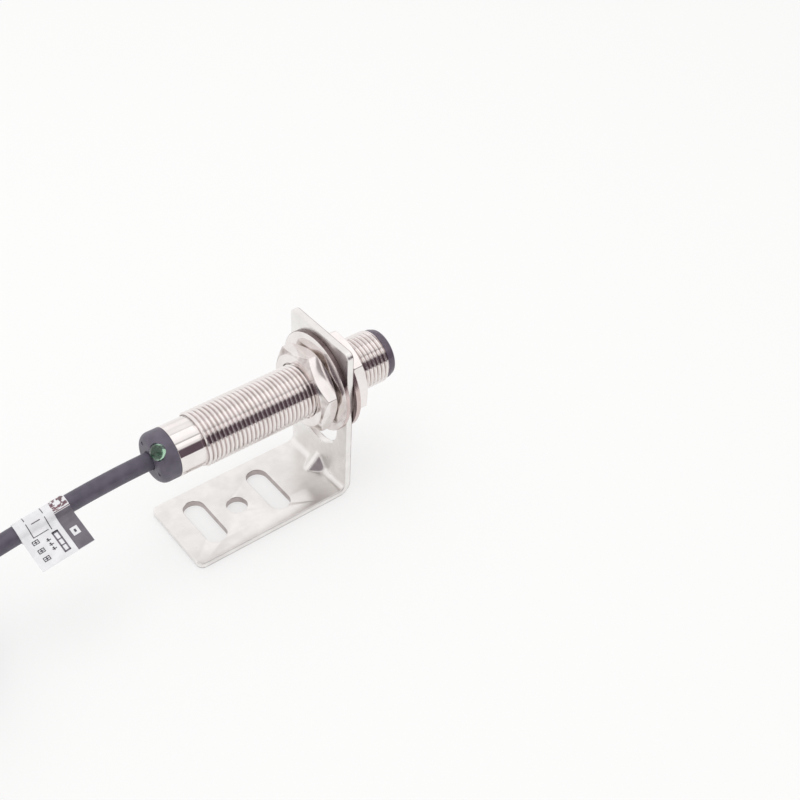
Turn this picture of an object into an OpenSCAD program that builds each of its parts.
// Photo sensor: a round sensor with a threaded metal barrel, held in an L-shaped sheet metal
// bracket by two hexagon nuts and two washers, with a cable that carries a label flag.
// Millimetres. +X is the way the lens looks, +Y is across the bracket and +Z is up.
// The origin is the centre of the foot's round screw hole, on the underside of the foot.

/* [Bracket] */
// Thickness of the bracket's sheet
sheet_t = 1.5; // [1:0.1:2]
// Width of the bracket
bracket_w = 20; // [18:0.5:26]
// Length of the foot, measured from the upright's front face
foot_len = 38.7; // [36:0.1:50]
// Height of the upright above the table
upright_h = 39; // [37:0.5:46]
// Inside radius of the bend between foot and upright
bend_r = 1.5; // [1:0.1:2.5]
// Radius of the free corners
corner_r = 1.5; // [0.5:0.1:3]
// From the upright's front face to the foot's round hole
hole_from_face = 23.2; // [22:0.1:26]
// Diameter of the foot's round hole
hole_d = 4.5; // [3.2:0.1:5.5]
// From the round hole to the middle of each cross slot
slot_pitch = 8.1; // [7:0.1:9]
// Width of each cross slot
slot_w = 4.8; // [4.2:0.1:5.5]
// Overall length of each cross slot
slot_len = 13.4; // [8:0.1:15]
// Gap between the barrel and each side of the upright's slot
window_gap = 0.55; // [0.2:0.05:1]
// Height of the lower end of the upright's slot
window_bottom = 9.4; // [8:0.1:12]
// Height of the upper end of the upright's slot
window_top = 35.4; // [33:0.1:36]
// How far the pressed rib in the bend reaches along foot and upright
rib_reach = 3.5; // [2.5:0.1:5]
// Width of the pressed rib at its base
rib_w = 5.6; // [4:0.1:8]
// Width of the rib's flat ridge
rib_ridge_w = 1.1; // [0.6:0.1:2]

/* [Barrel] */
// Height of the barrel's axis above the table
axis_h = 25.75; // [24.5:0.05:26.5]
// Outside diameter of the thread
thread_d = 11.9; // [11:0.1:12]
// Length of the threaded part
thread_len = 45.4; // [42:0.1:50]
// Distance from one thread groove to the next
thread_pitch = 1; // [0.75:0.05:1.25]
// Depth of the thread grooves
thread_depth = 0.55; // [0.3:0.05:0.55]
// Diameter of the smooth neck at the cable end
neck_d = 10.8; // [10.4:0.1:11]
// Length of the smooth neck
neck_len = 5.6; // [3:0.1:8]
// Inside diameter of the barrel
barrel_bore_d = 9.8; // [9.6:0.1:10]
// How far the barrel stands out in front of the upright
barrel_reach = 13.1; // [11:0.1:16]
// Width of the bevel at each end of the thread
thread_bevel = 0.5; // [0.2:0.1:1]

/* [Nuts and washers] */
// Width of the nuts across their flats
nut_af = 17; // [15:0.5:19]
// Thickness of the nuts
nut_t = 4; // [3:0.1:5]
// Diameter of the flat ring left on each face of a nut
nut_face_d = 16.2; // [15:0.1:16.8]
// Play between the thread and the nuts, on the radius
nut_gap = 0.05; // [0.02:0.01:0.1]
// How far the front nut is turned
front_nut_turn = 18.7; // [0:0.1:60]
// How far the rear nut is turned
rear_nut_turn = 43.7; // [0:0.1:60]
// Outside diameter of the washers
washer_d = 22.5; // [20:0.1:24]
// Hole in the washers
washer_hole_d = 13; // [12.5:0.1:14]
// Thickness of the washers
washer_t = 1.2; // [0.8:0.1:2]

/* [Front end] */
// Diameter of the front ring
ring_d = 11.2; // [11:0.1:11.8]
// Length of the front ring's wide part
ring_len = 1; // [0.6:0.1:1.5]
// Diameter of the front ring's lip
lip_d = 10.6; // [10:0.1:11]
// Length of the lip
lip_len = 0.85; // [0.5:0.05:1.2]
// Opening in front of the lens
ring_opening_d = 8; // [7:0.1:8.2]
// Width of the bevel around the opening
ring_bevel = 0.45; // [0.2:0.05:0.6]
// How far the front ring goes into the barrel
ring_plug_len = 2.6; // [2:0.1:4]
// Diameter of the lens
lens_d = 8.6; // [8.4:0.1:8.8]
// Thickness of the lens at its rim
lens_t = 1.2; // [0.8:0.1:1.6]
// How far the lens bulges to the front
lens_bulge = 0.6; // [0.3:0.05:1]
// How far the lens sits in front of the barrel's end
lens_seat = 0.5; // [0.3:0.1:0.8]
// Thickness of the lens seal
seal_t = 0.6; // [0.4:0.1:0.8]
// Width of the lens seal
seal_w = 0.8; // [0.5:0.1:1]
// Play of the plastic pieces inside the barrel, on the radius
plug_gap = 0.05; // [0.02:0.01:0.1]

/* [Cable end] */
// Diameter of the rear cap
cap_d = 10.7; // [10.4:0.1:10.8]
// Length of the rear cap behind the barrel
cap_len = 4.2; // [3:0.1:6]
// Radius of the cap's rounded shoulder
cap_round = 1.8; // [1.2:0.1:2]
// How far the cap goes into the barrel
cap_plug_len = 4; // [3:0.1:6]
// Diameter of the cable
cable_d = 3.7; // [3.6:0.1:4]
// Length of cable jacket that is moulded into the cap
jacket_in_cap = 5.2; // [4.5:0.1:6]
// Diameter of the indicator's dome
led_d = 3.1; // [2.8:0.1:3.8]
// How far the indicator's dome stands out of the shoulder
led_bulge = 0.8; // [0.4:0.1:1]
// How deep the indicator is set into the shoulder
led_depth = 0.9; // [0.6:0.1:1]
// Angle of the indicator around the barrel, from straight up
led_angle = 33; // [20:1:45]
// Diameter of the light guide behind the indicator
guide_d = 1.4; // [1:0.1:1.6]
// Width of the groove around the indicator
led_groove_w = 0.3; // [0.2:0.05:0.4]
// Depth of the groove around the indicator
led_groove_depth = 0.4; // [0.2:0.1:0.6]
// Diameter of the two small dimples in the cap
dimple_d = 0.8; // [0.5:0.1:1]
// Depth of the dimples
dimple_depth = 0.6; // [0.3:0.1:1.5]
// From the cap's outside to the middle of each dimple
dimple_inset = 1.7; // [1:0.1:2.6]
// How far around the cap each dimple is from the indicator, in degrees
dimple_spread = 72; // [60:1:100]
// Width of the flare where the cable leaves the cap
cap_mouth = 0.5; // [0.2:0.1:0.6]
// Width of the bevel at the cap's inner end
cap_bevel = 0.3; // [0.1:0.1:0.5]

/* [Inside] */
// Width of the circuit board
board_w = 9.2; // [8:0.1:9.3]
// Thickness of the circuit board
board_t = 0.8; // [0.6:0.1:1]
// Play of the board in its slots
board_gap = 0.05; // [0.02:0.01:0.1]
// How deep the board sits in each slot
board_in_slot = 1; // [0.6:0.1:1.4]
// Length of the optics tube
optics_len = 11.7; // [10:0.1:14]
// Aperture in front of the light receiver
aperture_d = 1.8; // [1:0.1:2.4]
// Wall around the aperture
aperture_t = 0.8; // [0.5:0.1:1.2]
// Side of the light receiver
receiver_w = 3; // [2.4:0.1:3.2]
// Thickness of the light receiver
receiver_t = 1.5; // [1:0.1:1.8]
// Length of the comparator
comparator_len = 5; // [4:0.1:6]
// Width of the comparator
comparator_w = 4; // [3:0.1:4.5]
// Thickness of the comparator
comparator_h = 1.5; // [1:0.1:1.8]
// Length of the voltage regulator
regulator_len = 3; // [2.5:0.1:3.5]
// Width of the voltage regulator
regulator_w = 1.6; // [1.2:0.1:1.8]
// Thickness of the voltage regulator
regulator_h = 1.1; // [0.8:0.1:1.4]
// Length of the output transistor
transistor_len = 4.5; // [3.5:0.1:5]
// Width of the output transistor
transistor_w = 2.6; // [2:0.1:2.7]
// Thickness of the output transistor
transistor_h = 1.5; // [1:0.1:1.8]
// Length of the large capacitor
capacitor_len = 3.2; // [2.4:0.1:3.4]
// Width of the large capacitor
capacitor_w = 1.6; // [1.2:0.1:1.8]
// Thickness of the large capacitor
capacitor_h = 1.6; // [0.8:0.1:1.8]
// Length of a resistor or a small capacitor
small_len = 1.6; // [1:0.1:2]
// Width of a resistor or a small capacitor
small_w = 0.8; // [0.5:0.1:1]
// Thickness of a resistor
resistor_h = 0.5; // [0.3:0.1:0.6]
// Thickness of a small capacitor
small_capacitor_h = 0.8; // [0.5:0.1:1]
// From the board's middle line to the parts in its outer rows
row_y = 2.4; // [2.3:0.1:2.6]
// Length of the light source behind the indicator
emitter_len = 1.6; // [1:0.1:2]
// How far the light source reaches past the light guide
emitter_rim = 0.1; // [0.05:0.05:0.3]
// Diameter of the cable's insulated cores
core_d = 0.9; // [0.7:0.05:0.95]
// Length of the cores over the board
core_reach = 6; // [4:0.5:9]

/* [Label] */
// Length of the label along the cable
label_len = 10.8; // [8:0.1:14]
// How far the flag reaches from the cable's axis
label_reach = 10; // [8:0.1:11]
// Thickness of the label's plastic
label_t = 0.3; // [0.2:0.05:0.5]
// Play between the label's sleeve and the cable, on the radius
label_gap = 0.3; // [0.2:0.05:0.5]
// How far the flag hangs down, in degrees
label_droop = 8; // [0:1:15]

/* [Loose cable] */
// Length of the free end that lies on the bundle
tail_len = 26; // [20:1:30]
// Length of the bared cores
lead_len = 18; // [8:1:22]
// Length of the tinned ends
tin_len = 5; // [3:0.5:6]
// Width of the tie around the folded cable
tie_w = 6; // [4:0.5:10]
// Thickness of the tie
tie_t = 0.5; // [0.3:0.1:0.8]

/* [Hidden] */
$fn = 64;
eps = 0.01;

// Places along X
face_x = hole_from_face;
inner_face_x = face_x - sheet_t;
foot_end_x = face_x - foot_len;
barrel_x1 = face_x + barrel_reach;
neck_x1 = barrel_x1 - thread_len;
thread_turns = floor((thread_len - 2 * thread_bevel) / thread_pitch);
barrel_x0 = neck_x1 - neck_len;
cap_x0 = barrel_x0 - cap_len;
cap_plug_x = barrel_x0 + cap_plug_len;
jacket_end_x = cap_x0 + jacket_in_cap;
ring_plug_x = barrel_x1 - ring_plug_len;
lens_front_x = barrel_x1 + lens_seat;
lens_back_x = lens_front_x - lens_t;
seal_back_x = lens_back_x - seal_t;
optics_x0 = seal_back_x - optics_len;
board_x0 = cap_plug_x - board_in_slot;
board_x1 = optics_x0 + board_in_slot;
receiver_front_x = board_x1 + receiver_t;

// Radii and heights that several pieces share
window_w = thread_d + 2 * window_gap;
washer_play = (washer_hole_d - thread_d) / 2;
rear_washer_rise = 0.8 * washer_play;
bore_r = barrel_bore_d / 2;
plug_r = bore_r - plug_gap;
lens_pocket_r = lens_d / 2 + plug_gap;
chamber_r = receiver_w * sqrt(2) / 2 + 0.4;
board_top = board_t / 2;
cable_r = cable_d / 2;
core_r = core_d / 2;
core_z = board_top + core_r;
core_y = core_r + 0.05;
guide_r = cable_r + 1 + guide_d / 2;
led_out_r = cap_d / 2 - cap_round * (1 - cos(45));
led_out_x = cap_x0 + cap_round * (1 - cos(45));

// The folded cable lies behind the sensor. It is four layers high, its end loops turn around
// the middles at hank_near and hank_far behind the cap, and a tie gathers its waist.
hank_near = 59;
hank_far = 127;
hank_half = (hank_far - hank_near) / 2;
hank_mid_x = cap_x0 - hank_near - hank_half;
hank_h = 15.2;
hank_r = 17.1;
hank_waist = 5;
tie_lift = 0.5;
on_hank = hank_h + cable_r;

// The cable that isn't folded: straight out of the cap, sagging onto the bundle, and over and
// round its far end to the tie. Each point is [distance behind the cap, y, z].
CABLE_ROUTE = [
    [4, 0, axis_h - 0.1], [8, 0, axis_h - 0.3], [15, 0, axis_h - 0.9], [23, 0, axis_h - 2],
    [30, 0, axis_h - 3.1], [38, 0, axis_h - 4.4], [46, 0.4, on_hank + 2.9],
    [54, 1.8, on_hank + 1.5], [62, 3.8, on_hank + 0.5], [70, 6.2, on_hank], [78, 8.4, on_hank],
    [86, 9.9, on_hank + 0.3], [93, 10.2, on_hank + 0.5], [100, 10.7, on_hank + 0.3],
    [108, 12.2, on_hank], [117, 14.2, on_hank], [127, 15.2, on_hank], [134.6, 13.2, on_hank],
    [140.2, 7.6, on_hank], [142.2, 0, on_hank], [140.2, -7.6, on_hank], [134.6, -13.2, on_hank],
    [127, -15.2, on_hank], [117, -14.2, on_hank], [108, -12.2, on_hank],
    [100, -10.7, on_hank + 0.3], [93, -10.2, on_hank + 0.5]
];
// The label hangs on this point of the route
label_point = 3;
// The free end lies on the bundle, beside the incoming cable's last stretch
tail_start = 106;
tail_y = -6.4;
lead_spread = 6;

function arc(cx, cy, r, a0, a1, n) = [for (i = [0 : n]) let (a = a0 + (a1 - a0) * i / n)
    [cx + r * cos(a), cy + r * sin(a)]];

// A turned piece: the outline's points are [distance from the axis, place along X]
module turned(points) {
    translate([0, 0, axis_h]) rotate([0, 90, 0]) rotate_extrude() polygon(points);
}

// A round bar or a drill along X, from x0 to x1, off the axis by y and z
module bar(r, x0, x1, y = 0, z = 0, n = 32) {
    translate([x0, y, axis_h + z]) rotate([0, 90, 0]) cylinder(h = x1 - x0, r = r, $fn = n);
}

// A box from x0 to x1, centred on y, standing on z0 above the barrel's axis
module block(x0, x1, y, w, z0, h) {
    translate([x0, y - w / 2, axis_h + z0]) cube([x1 - x0, w, h]);
}

// Moves a child made on +Z to the cap's shoulder, pointing out at 45 degrees
module on_shoulder() {
    translate([led_out_x, 0, axis_h]) rotate([led_angle, 0, 0]) translate([0, 0, led_out_r])
        rotate([0, -45, 0]) children();
}

// Bracket
module cross_slot(x) {
    straight = slot_len - slot_w;
    translate([x, 0, -1]) {
        for (s = [-1, 1]) translate([0, s * straight / 2, 0]) cylinder(h = sheet_t + 2, d = slot_w);
        translate([-slot_w / 2, -straight / 2, 0]) cube([slot_w, straight, sheet_t + 2]);
    }
}

module upright_slot() {
    low = window_bottom + window_w / 2;
    high = window_top - window_w / 2;
    for (z = [low, high]) translate([inner_face_x - 1, 0, z]) rotate([0, 90, 0])
        cylinder(h = sheet_t + 2, d = window_w);
    translate([inner_face_x - 1, -window_w / 2, low]) cube([sheet_t + 2, window_w, high - low]);
}

// What a rounded corner takes off a plate of thickness t, at a corner that points to +X +Y
module corner_waste(t) {
    difference() {
        translate([-corner_r, -corner_r, -1]) cube([corner_r + 1, corner_r + 1, t + 2]);
        translate([-corner_r, -corner_r, -2]) cylinder(h = t + 4, r = corner_r);
    }
}

// The rib's wedge across the bend. The ridge runs at 45 degrees, and back sets the wedge
// towards the bend's outside.
module rib_wedge(reach, ridge, base, back) {
    x = inner_face_x + back;
    z = sheet_t - back;
    hull() {
        translate([x - reach, -ridge / 2, z - eps]) cube([eps, ridge, eps]);
        translate([x, -ridge / 2, z + reach]) cube([eps, ridge, eps]);
        translate([x - bend_r, -base / 2, z - eps]) cube([eps, base, eps]);
        translate([x, -base / 2, z + bend_r]) cube([eps, base, eps]);
        translate([x, -base / 2, z - eps]) cube([eps, base, eps]);
    }
}

module bend() {
    outer = bend_r + sheet_t;
    translate([inner_face_x - bend_r, bracket_w / 2, outer]) rotate([90, 0, 0])
        difference() {
            cylinder(h = bracket_w, r = outer);
            translate([0, 0, -1]) cylinder(h = bracket_w + 2, r = bend_r);
            translate([-outer - 1, -outer - 1, -1]) cube([outer + 1, 2 * outer + 2, bracket_w + 2]);
            translate([-1, 0, -1]) cube([outer + 2, outer + 1, bracket_w + 2]);
        }
}

module bracket() {
    foot_x1 = inner_face_x - bend_r;
    upright_z0 = sheet_t + bend_r;
    color("gainsboro") difference() {
        union() {
            translate([foot_end_x, -bracket_w / 2, 0]) cube([foot_x1 - foot_end_x, bracket_w, sheet_t]);
            translate([inner_face_x, -bracket_w / 2, upright_z0])
                cube([sheet_t, bracket_w, upright_h - upright_z0]);
            bend();
            rib_wedge(rib_reach, rib_ridge_w, rib_w, 0);
        }
        rib_wedge(rib_reach - 0.4 * sheet_t, rib_ridge_w / 2, rib_w - sheet_t, sheet_t);
        translate([0, 0, -1]) cylinder(h = sheet_t + 2, d = hole_d);
        for (x = [-slot_pitch, slot_pitch]) cross_slot(x);
        upright_slot();
        for (s = [0, 1]) {
            mirror([0, s, 0]) translate([foot_end_x, bracket_w / 2, 0]) rotate([0, 0, 90])
                corner_waste(sheet_t);
            mirror([0, s, 0]) translate([inner_face_x, bracket_w / 2, upright_h])
                rotate([90, 0, 90]) corner_waste(sheet_t);
        }
    }
}

// Barrel, nuts and washers. The thread is a row of ring grooves, each with its outline here
function thread_groove(x) = [
    [thread_d / 2, x - 0.4 * thread_pitch],
    [thread_d / 2 - thread_depth, x - 0.1 * thread_pitch],
    [thread_d / 2 - thread_depth, x + 0.1 * thread_pitch],
    [thread_d / 2, x + 0.4 * thread_pitch]
];

module barrel() {
    color("gainsboro") turned([
        [bore_r, barrel_x0], [neck_d / 2, barrel_x0], [neck_d / 2, neck_x1],
        [thread_d / 2, neck_x1 + thread_bevel],
        for (i = [1 : thread_turns]) each thread_groove(neck_x1 + thread_bevel
                                                        + (i - 0.5) * thread_pitch),
        [thread_d / 2, barrel_x1 - thread_bevel], [thread_d / 2 - thread_bevel, barrel_x1],
        [bore_r, barrel_x1]
    ]);
}

module nut(x, turn) {
    corner = nut_af / 2 / cos(30);
    chamfer = (corner - nut_face_d / 2) * tan(30);
    hole = thread_d / 2 + nut_gap;
    lead_in = 0.4;
    color("gainsboro") difference() {
        intersection() {
            translate([x, 0, axis_h]) rotate([turn + 90, 0, 0]) rotate([0, 90, 0])
                cylinder(h = nut_t, r = corner, $fn = 6);
            turned([[0, x], [nut_face_d / 2, x], [corner, x + chamfer],
                    [corner, x + nut_t - chamfer], [nut_face_d / 2, x + nut_t], [0, x + nut_t]]);
        }
        bar(hole, x - 1, x + nut_t + 1, n = 64);
        turned([[0, x - eps], [hole + lead_in, x - eps], [hole - eps, x + lead_in], [0, x + lead_in]]);
        turned([[0, x + nut_t + eps], [hole + lead_in, x + nut_t + eps],
                [hole - eps, x + nut_t - lead_in], [0, x + nut_t - lead_in]]);
    }
}
module rear_nut() { nut(inner_face_x - washer_t - nut_t, rear_nut_turn); }
module front_nut() { nut(face_x + washer_t, front_nut_turn); }

module washer(x, rise) {
    edge = 0.12;
    color("gainsboro") translate([0, 0, rise]) turned([
        [washer_hole_d / 2, x], [washer_d / 2 - edge, x], [washer_d / 2, x + edge],
        [washer_d / 2, x + washer_t - edge], [washer_d / 2 - edge, x + washer_t],
        [washer_hole_d / 2, x + washer_t]
    ]);
}
module rear_washer() { washer(inner_face_x - washer_t, rear_washer_rise); }
module front_washer() { washer(face_x, 0); }

// Front end
module front_ring() {
    lip_x = barrel_x1 + ring_len;
    front_x = lip_x + lip_len;
    seat_x = lens_front_x;
    color("dimgray") turned([
        [lens_pocket_r, ring_plug_x], [plug_r, ring_plug_x], [plug_r, barrel_x1],
        [ring_d / 2, barrel_x1], [ring_d / 2, lip_x - 0.15], [ring_d / 2 - 0.15, lip_x],
        [lip_d / 2, lip_x], [lip_d / 2, front_x - 0.25], [lip_d / 2 - 0.25, front_x],
        [ring_opening_d / 2 + ring_bevel, front_x], [ring_opening_d / 2, front_x - ring_bevel],
        [ring_opening_d / 2, seat_x], [lens_pocket_r, seat_x]
    ]);
}

module lens() {
    dome_r = ring_opening_d / 2 - plug_gap;
    ball_r = (dome_r * dome_r + lens_bulge * lens_bulge) / (2 * lens_bulge);
    color("lightsteelblue") intersection() {
        turned([[0, lens_back_x], [lens_d / 2, lens_back_x], [lens_d / 2, lens_front_x],
                [dome_r, lens_front_x], [dome_r, lens_front_x + lens_bulge],
                [0, lens_front_x + lens_bulge]]);
        union() {
            bar(lens_d / 2 + 1, lens_back_x - 1, lens_front_x, n = 64);
            translate([lens_front_x + lens_bulge - ball_r, 0, axis_h]) rotate([0, 90, 0])
                sphere(r = ball_r, $fn = 96);
        }
    }
}

module lens_seal() {
    r = lens_d / 2;
    color("black") turned([[r - seal_w, seal_back_x], [r, seal_back_x], [r, lens_back_x],
                           [r - seal_w, lens_back_x]]);
}

module optics_tube() {
    nose_r = lens_d / 2;
    mouth_r = nose_r - seal_w;
    throat_r = aperture_d;
    chamber_x1 = receiver_front_x + 0.2;
    wall_x1 = chamber_x1 + aperture_t;
    color("black") difference() {
        turned([
            [chamber_r, optics_x0], [plug_r, optics_x0], [plug_r, ring_plug_x],
            [nose_r, ring_plug_x], [nose_r, seal_back_x], [mouth_r, seal_back_x],
            [throat_r, wall_x1], [aperture_d / 2, wall_x1], [aperture_d / 2, chamber_x1],
            [chamber_r, chamber_x1]
        ]);
        block(optics_x0 - 1, board_x1, 0, board_w + 2 * board_gap,
              -board_top - board_gap, board_t + 2 * board_gap);
    }
}

// Electronics
module light_receiver() {
    color("darkslategray") block(board_x1, receiver_front_x, 0, receiver_w, -receiver_w / 2, receiver_w);
}

module circuit_board() {
    color("seagreen") block(board_x0, board_x1, 0, board_w, -board_top, board_t);
}

// A flat chip on the board's upper side, its middle at a share of the board's length
function board_place(share) = board_x0 + share * (board_x1 - board_x0);
module chip(share, length, width, height, y = 0) {
    x = board_place(share);
    block(x - length / 2, x + length / 2, y, width, board_top, height);
}
module chip_below(share, length, width, height, y = 0) {
    x = board_place(share);
    block(x - length / 2, x + length / 2, y, width, -board_top - height, height);
}
module comparator_ic() {
    color("black") chip(0.72, comparator_len, comparator_w, comparator_h);
}
module voltage_regulator() {
    color("black") chip(0.5, regulator_len, regulator_w, regulator_h, row_y);
}
module output_transistor() {
    color("black") chip_below(0.42, transistor_len, transistor_w, transistor_h, 1.4);
}
module board_capacitors() {
    color("tan") {
        chip(0.5, small_len, small_w, small_capacitor_h, -row_y);
        chip(0.88, small_len, small_w, small_capacitor_h, row_y);
        chip_below(0.62, capacitor_len, capacitor_w, capacitor_h, -row_y);
    }
}
module board_resistors() {
    color("dimgray") for (share = [0.55, 0.63, 0.71, 0.79])
        chip_below(share, small_len, small_w, resistor_h, row_y);
}
module indicator_emitter() {
    top = guide_r * cos(led_angle) + emitter_rim;
    color("white") block(cap_plug_x, cap_plug_x + emitter_len, -guide_r * sin(led_angle),
                         guide_d + 2 * emitter_rim, board_top, top - board_top);
}

// Cable end
module led_body(top) {
    translate([0, 0, -led_depth]) cylinder(h = led_depth + top, r = led_d / 2, $fn = 48);
}

module led_dome() {
    r = led_d / 2;
    ball_r = (r * r + led_bulge * led_bulge) / (2 * led_bulge);
    intersection() {
        led_body(led_bulge);
        translate([0, 0, led_bulge - ball_r]) sphere(r = ball_r, $fn = 64);
    }
}

module light_guide(extra) {
    bar(guide_d / 2 + extra, led_out_x + led_depth * cos(45), cap_plug_x,
        -guide_r * sin(led_angle), guide_r * cos(led_angle));
}

module indicator_led() {
    color("mediumseagreen") union() {
        on_shoulder() led_dome();
        light_guide(0);
    }
}

module rear_cap() {
    r = cap_d / 2;
    color("dimgray") difference() {
        turned(concat(
            [[cable_r + cap_mouth, cap_x0], [r - cap_round, cap_x0]],
            [for (p = arc(r - cap_round, cap_x0 + cap_round, cap_round, -90, 0, 10)) p],
            [[r, barrel_x0], [plug_r, barrel_x0], [plug_r, cap_plug_x - cap_bevel],
             [plug_r - cap_bevel, cap_plug_x], [cable_r, cap_plug_x],
             [cable_r, cap_x0 + cap_mouth]]
        ));
        on_shoulder() {
            led_body(led_d);
            translate([0, 0, -led_groove_depth])
                cylinder(h = led_groove_depth + led_d, r = led_d / 2 + led_groove_w, $fn = 48);
        }
        light_guide(0);
        block(board_x0, cap_plug_x + 1, 0, board_w + 2 * board_gap,
              -board_top - board_gap, board_t + 2 * board_gap);
        for (side = [-1, 1]) rotate_about_axis(led_angle + side * dimple_spread)
            bar(dimple_d / 2, cap_x0 - 1, cap_x0 + dimple_depth, 0, r - dimple_inset, 16);
    }
}

// Turns a child around the barrel's axis, from straight up
module rotate_about_axis(angle) {
    translate([0, 0, axis_h]) rotate([angle, 0, 0]) translate([0, 0, -axis_h]) children();
}

module inner_cable_end() {
    color("dimgray") bar(cable_r, cap_x0, jacket_end_x);
}

module core(y, z) {
    bar(core_r, jacket_end_x, cap_plug_x + core_reach, y, z, 20);
}
module inner_core_brown() { color("saddlebrown") core(-core_y, core_z); }
module inner_core_blue() { color("royalblue") core(core_y, core_z); }
module inner_core_black() { color("black") core(0, -core_z); }

// Loose cable. One ring of points stands at each point of the route.
function unit(v) = v / norm(v);
function heading(p, i) = let (n = len(p) - 1)
    unit(p[min(i + 1, n)] - p[max(i - 1, 0)]);
function ring(centre, way, r, sides) =
    let (side = unit(cross([0, 0, 1], way)), up = cross(way, side))
    [for (k = [0 : sides - 1]) let (a = 360 * (k + 0.5) / sides)
        centre + r * (cos(a) * side + sin(a) * up)];

// A tube whose flat sides touch a round tube of radius r
module swept_tube(points, r, sides) {
    n = len(points);
    corner_r = r / cos(180 / sides);
    rings = [for (i = [0 : n - 1]) each ring(points[i], heading(points, i), corner_r, sides)];
    walls = [for (i = [0 : n - 2], k = [0 : sides - 1]) let (a = i * sides, b = (k + 1) % sides)
        [a + k, a + b, a + b + sides, a + k + sides]];
    first = [for (k = [0 : sides - 1]) sides - 1 - k];
    last = [for (k = [0 : sides - 1]) (n - 1) * sides + k];
    polyhedron(rings, concat([first], walls, [last]));
}

function on_route(p) = [cap_x0 - p[0], p[1], p[2]];

module cable() {
    points = [[cap_x0, 0, axis_h], for (p = CABLE_ROUTE) on_route(p)];
    color("dimgray") swept_tube(points, cable_r, 8);
}

// The label: a sleeve around the cable and a flat flag towards -Y
module cable_label() {
    along = on_route(CABLE_ROUTE[label_point - 1]) - on_route(CABLE_ROUTE[label_point + 1]);
    inner = cable_r + label_gap;
    outer = inner + label_t;
    color("white") translate(on_route(CABLE_ROUTE[label_point]))
        rotate([0, -atan(along[2] / along[0]), 0]) rotate([label_droop, 0, 0]) difference() {
            union() {
                translate([-label_len / 2, 0, 0]) rotate([0, 90, 0])
                    cylinder(h = label_len, r = outer);
                translate([-label_len / 2, -label_reach, -label_t])
                    cube([label_len, label_reach, 2 * label_t]);
            }
            translate([-label_len / 2 - 1, 0, 0]) rotate([0, 90, 0])
                cylinder(h = label_len + 2, r = inner);
        }
}

// Half the width of the folded bundle at x: narrower in the middle, where the tie is
function waist(x) = abs(x) >= hank_half ? 0 : hank_waist * pow(cos(90 * x / hank_half), 2);
function hank_side(r) = [for (i = [-12 : 12]) let (x = hank_half * i / 12) [x, r - waist(x)]];
module hank_outline(r) {
    side = hank_side(r);
    far = arc(hank_half, 0, r, 90, -90, 16);
    near = arc(-hank_half, 0, r, -90, -270, 16);
    polygon(concat(side, far, [for (i = [24 : -1 : 0]) [side[i][0], -side[i][1]]], near));
}

module cable_hank() {
    color("dimgray") translate([hank_mid_x, 0, 0]) difference() {
        linear_extrude(hank_h) hank_outline(hank_r);
        translate([-tie_w / 2, -hank_r, -1]) cube([tie_w, 2 * hank_r, tie_t + 1]);
    }
}

// The tie goes round the bundle, the cable on it and the free end
module hank_tie() {
    half = hank_r - hank_waist;
    top = hank_h + cable_d + tie_lift;
    color("white") translate([hank_mid_x - tie_w / 2, 0, 0]) difference() {
        translate([0, -half - tie_t, 0]) cube([tie_w, 2 * (half + tie_t), top + tie_t]);
        translate([-1, -half, tie_t]) cube([tie_w + 2, 2 * half, top - tie_t]);
    }
}

module cable_tail() {
    color("dimgray") translate([cap_x0 - tail_start, tail_y, on_hank]) rotate([0, 90, 0])
        cylinder(h = tail_len, r = cable_r, $fn = 24);
}

// A bared core leaves the tail's end, spread sideways by the given angle
module lead(y, z, spread) {
    translate([cap_x0 - tail_start + tail_len, tail_y + y, on_hank + z]) rotate([0, 90, spread])
        children();
}
module lead_insulation(y, z, spread) {
    lead(y, z, spread) cylinder(h = lead_len - tin_len, r = core_r, $fn = 16);
}
module lead_brown() { color("saddlebrown") lead_insulation(-core_r, -core_r, -lead_spread); }
module lead_blue() { color("royalblue") lead_insulation(core_r, -core_r, lead_spread); }
module lead_black() { color("black") lead_insulation(0, core_r, 0); }
module lead_tip(y, z, spread) {
    lead(y, z, spread) translate([0, 0, lead_len - tin_len])
        cylinder(h = tin_len, r = 0.6 * core_r, $fn = 16);
}
module lead_tips() {
    color("silver") {
        lead_tip(-core_r, -core_r, -lead_spread);
        lead_tip(core_r, -core_r, lead_spread);
        lead_tip(0, core_r, 0);
    }
}

bracket();
barrel();
rear_nut();
front_nut();
rear_washer();
front_washer();
front_ring();
lens();
lens_seal();
optics_tube();
light_receiver();
circuit_board();
comparator_ic();
voltage_regulator();
output_transistor();
board_capacitors();
board_resistors();
indicator_emitter();
indicator_led();
rear_cap();
inner_cable_end();
inner_core_brown();
inner_core_blue();
inner_core_black();
cable();
cable_label();
cable_hank();
hank_tie();
cable_tail();
lead_brown();
lead_blue();
lead_black();
lead_tips();
